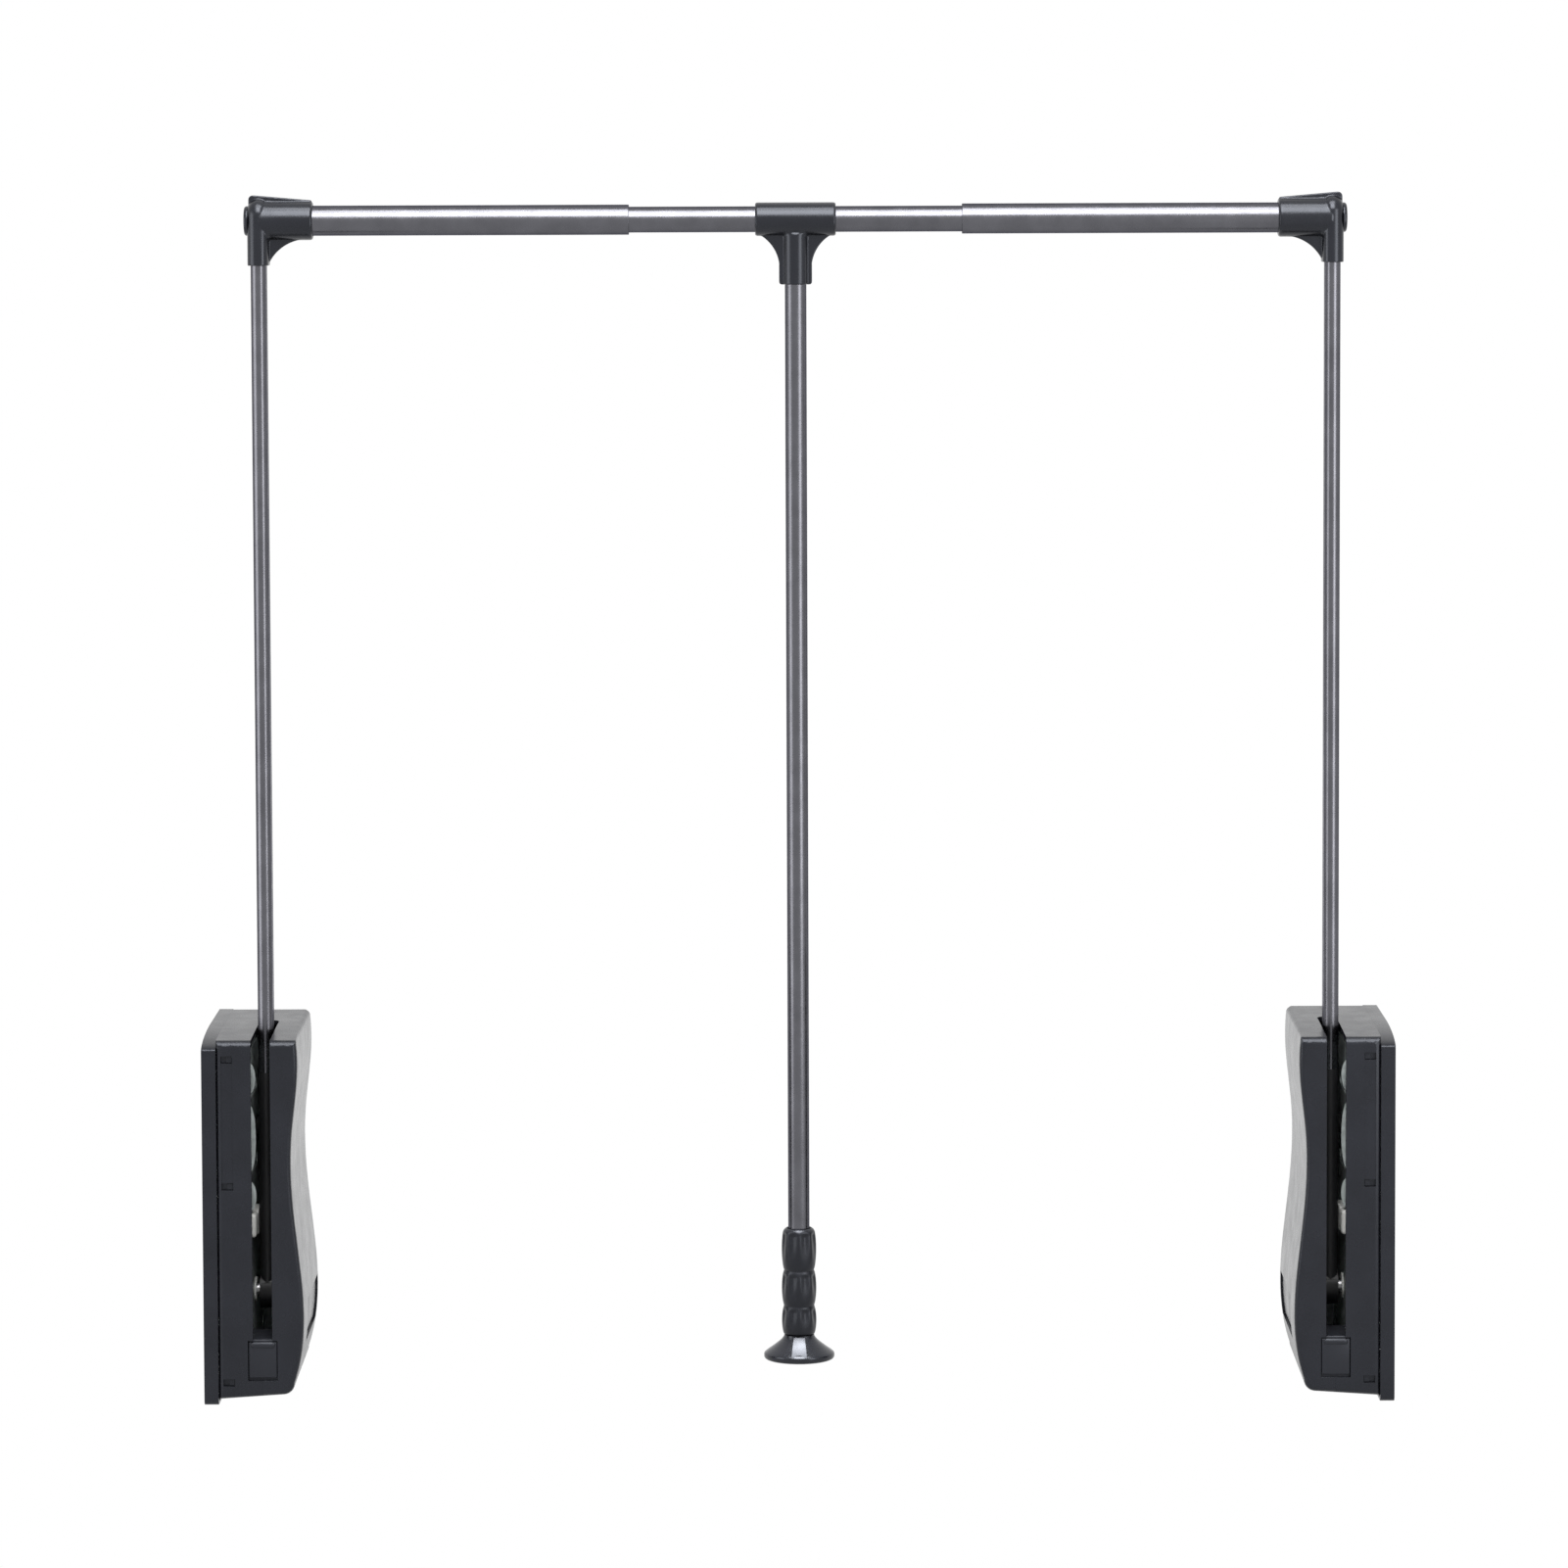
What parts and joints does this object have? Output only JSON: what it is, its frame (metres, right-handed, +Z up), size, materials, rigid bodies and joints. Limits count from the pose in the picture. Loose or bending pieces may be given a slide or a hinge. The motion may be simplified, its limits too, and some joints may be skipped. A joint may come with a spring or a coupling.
{
  "type": "pull-down wardrobe lift",
  "caption": "Wall-to-wall wardrobe lift: two sprung housings, two swinging arms, a telescopic hanging rail and a pull rod with a flared grip",
  "frame": {"origin": "middle of the four wall screws of the left housing, on the wall face", "axes": "+X from the left wall to the right wall, +Y from the user to the back of the wardrobe, +Z up; arms raised"},
  "size_m": [0.83, 0.15, 0.8436],
  "materials": {
    "housing_plastic": "satin charcoal moulded plastic with a fine spark texture",
    "connector_plastic": "semi-gloss black moulded plastic",
    "grip_rubber": "soft-touch black moulding",
    "insert_rubber": "matt dark rubber",
    "stop_rubber": "matt black rubber",
    "tube_gunmetal": "gunmetal metallic lacquer on steel tube",
    "zinc_sheet": "zinc plated sheet steel",
    "bright_steel": "bright turned steel",
    "black_casting": "black coated casting",
    "spring_steel": "black phosphated spring wire",
    "white_nylon": "white nylon"
  },
  "bodies": {
    "left_housing": {"left_wall_plate": "housing_plastic", "left_outer_shell": "housing_plastic", "left_inner_shell": "housing_plastic", "left_shell_screws": "bright_steel", "left_slot_insert": "insert_rubber", "left_chassis": "zinc_sheet", "left_outer_cheek": "zinc_sheet", "left_spacer_posts": "bright_steel", "left_arm_stop": "stop_rubber", "left_arm_guide": "white_nylon", "left_pivot_bushes": "white_nylon", "left_spring_seat": "zinc_sheet", "left_damper_body": "housing_plastic"},
    "left_arm": {"left_arm_tube": "tube_gunmetal", "left_arm_foot": "black_casting", "left_pivot_shaft": "bright_steel", "left_spring_crank": "black_casting", "left_crank_pin": "bright_steel", "left_corner_connector": "connector_plastic", "left_corner_cap": "connector_plastic", "left_corner_screw": "bright_steel", "left_rail_tube": "tube_gunmetal"},
    "left_spring_rod": {"left_spring_rod": "bright_steel", "left_spring_collar": "black_casting", "left_spring": "spring_steel"},
    "left_damper_plunger": {"left_damper_plunger": "bright_steel"},
    "right_housing": {"right_wall_plate": "housing_plastic", "right_outer_shell": "housing_plastic", "right_inner_shell": "housing_plastic", "right_shell_screws": "bright_steel", "right_slot_insert": "insert_rubber", "right_chassis": "zinc_sheet", "right_outer_cheek": "zinc_sheet", "right_spacer_posts": "bright_steel", "right_arm_stop": "stop_rubber", "right_arm_guide": "white_nylon", "right_pivot_bushes": "white_nylon", "right_spring_seat": "zinc_sheet", "right_damper_body": "housing_plastic"},
    "right_arm": {"right_arm_tube": "tube_gunmetal", "right_arm_foot": "black_casting", "right_pivot_shaft": "bright_steel", "right_spring_crank": "black_casting", "right_crank_pin": "bright_steel", "right_corner_connector": "connector_plastic", "right_corner_cap": "connector_plastic", "right_corner_screw": "bright_steel", "right_rail_tube": "tube_gunmetal"},
    "right_spring_rod": {"right_spring_rod": "bright_steel", "right_spring_collar": "black_casting", "right_spring": "spring_steel"},
    "right_damper_plunger": {"right_damper_plunger": "bright_steel"},
    "rail_center": {"inner_rail_tube": "tube_gunmetal", "inner_rail_plugs": "white_nylon"},
    "pull_rod": {"tee_connector": "connector_plastic", "tee_screw": "bright_steel", "pull_rod_tube": "tube_gunmetal", "grip": "grip_rubber", "grip_foot": "grip_rubber"}
  },
  "joints": [
    {"name": "width_adjust", "type": "slide", "parent": "left_housing", "child": "right_housing", "axis": [1, 0, 0], "range_m": [-0.178, 0]},
    {"name": "arm_swing", "type": "hinge", "parent": "left_housing", "child": "left_arm", "pos_m": [0.041, -0.012, -0.057], "axis": [1, 0, 0], "range_deg": [0, 105], "stiffness_Nm_per_rad": 6, "springref_deg": -91.67},
    {"name": "right_arm_swing", "type": "hinge", "parent": "right_housing", "child": "right_arm", "pos_m": [0.789, -0.012, -0.057], "axis": [1, 0, 0], "range_deg": [0, 105], "stiffness_Nm_per_rad": 6, "springref_deg": -91.67},
    {"name": "left_rod_swing", "type": "hinge", "parent": "left_arm", "child": "left_spring_rod", "pos_m": [0.015, 0.01235, -0.08873], "axis": [1, 0, 0], "range_deg": [-105, 0], "deforming": ["left_spring"]},
    {"name": "right_rod_swing", "type": "hinge", "parent": "right_arm", "child": "right_spring_rod", "pos_m": [0.815, 0.01235, -0.08873], "axis": [1, 0, 0], "range_deg": [-105, 0], "deforming": ["right_spring"]},
    {"name": "left_plunger_slide", "type": "slide", "parent": "left_housing", "child": "left_damper_plunger", "axis": [0, -1, 0], "range_m": [0, 0.012]},
    {"name": "right_plunger_slide", "type": "slide", "parent": "right_housing", "child": "right_damper_plunger", "axis": [0, -1, 0], "range_m": [0, 0.012]},
    {"name": "inner_rail_slide", "type": "slide", "parent": "left_arm", "child": "rail_center", "axis": [1, 0, 0], "range_m": [-0.089, 0]},
    {"name": "pull_rod_swivel", "type": "hinge", "parent": "rail_center", "child": "pull_rod", "pos_m": [0.415, -0.012, 0.695], "axis": [1, 0, 0], "continuous": true}
  ],
  "couplings": [
    {"joint": "right_arm_swing", "follows": "arm_swing", "ratio": 1},
    {"joint": "left_rod_swing", "follows": "arm_swing", "ratio": -1},
    {"joint": "right_rod_swing", "follows": "arm_swing", "ratio": -1},
    {"joint": "left_plunger_slide", "follows": "arm_swing", "m_per_rad": 0.0065},
    {"joint": "right_plunger_slide", "follows": "arm_swing", "m_per_rad": 0.0065},
    {"joint": "inner_rail_slide", "follows": "width_adjust", "ratio": 0.5}
  ]
}
